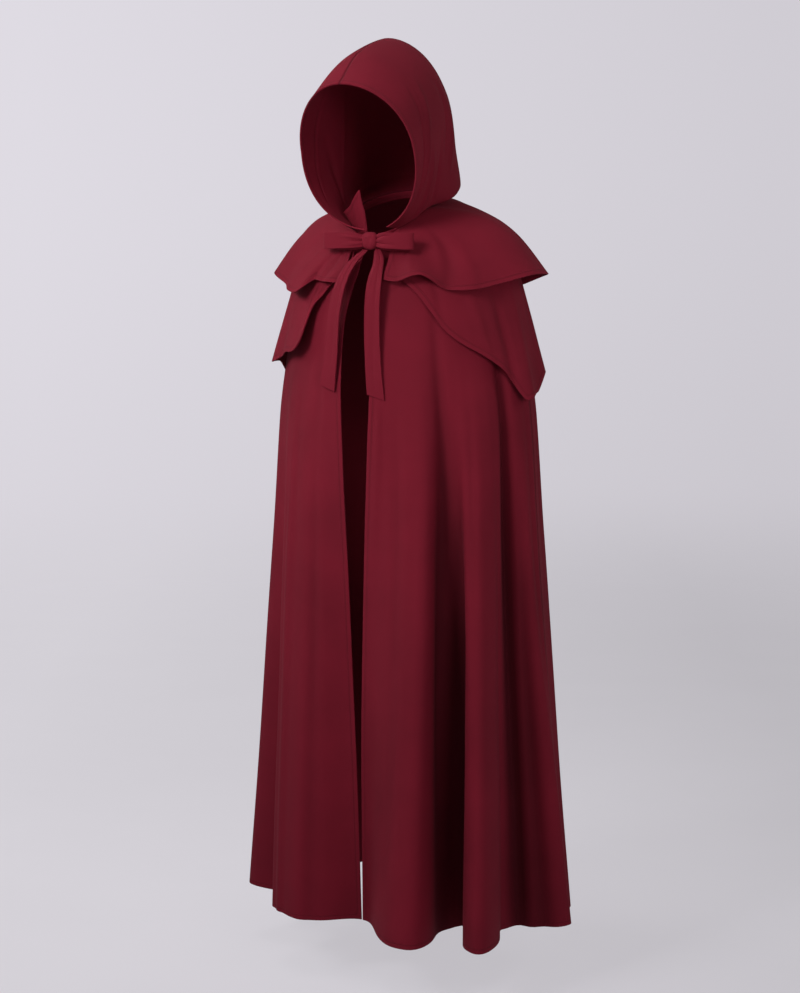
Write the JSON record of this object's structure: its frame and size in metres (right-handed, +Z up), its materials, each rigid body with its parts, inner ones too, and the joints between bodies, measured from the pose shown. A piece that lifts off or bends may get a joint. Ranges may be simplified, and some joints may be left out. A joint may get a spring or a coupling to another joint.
{
  "type": "hooded wool cloak",
  "caption": "Floor-length hooded wool cloak, worn and hollow, with an under cape cut away at the front, a short shoulder cape and a self-fabric bow tied at the neck",
  "frame": {"origin": "the middle of the neck opening, where the wearer's neck and shoulders carry the cloak", "axes": "+Z is up, -Y is the wearer's front, and +X is the wearer's left"},
  "size_m": [0.6637, 0.5528, 1.6234],
  "materials": {
    "wool": "fulled burgundy wool with a short soft nap and a low sheen"
  },
  "bodies": {
    "root": {"front_left": "wool", "back": "wool", "front_right": "wool", "under_cape": "wool", "shoulder_cape": "wool", "hood_left": "wool", "hood_right": "wool", "neck_facing": "wool", "tie_knot": "wool", "tie_loop_left": "wool", "tie_loop_right": "wool", "tie_tail_left": "wool", "tie_tail_right": "wool"}
  },
  "joints": []
}
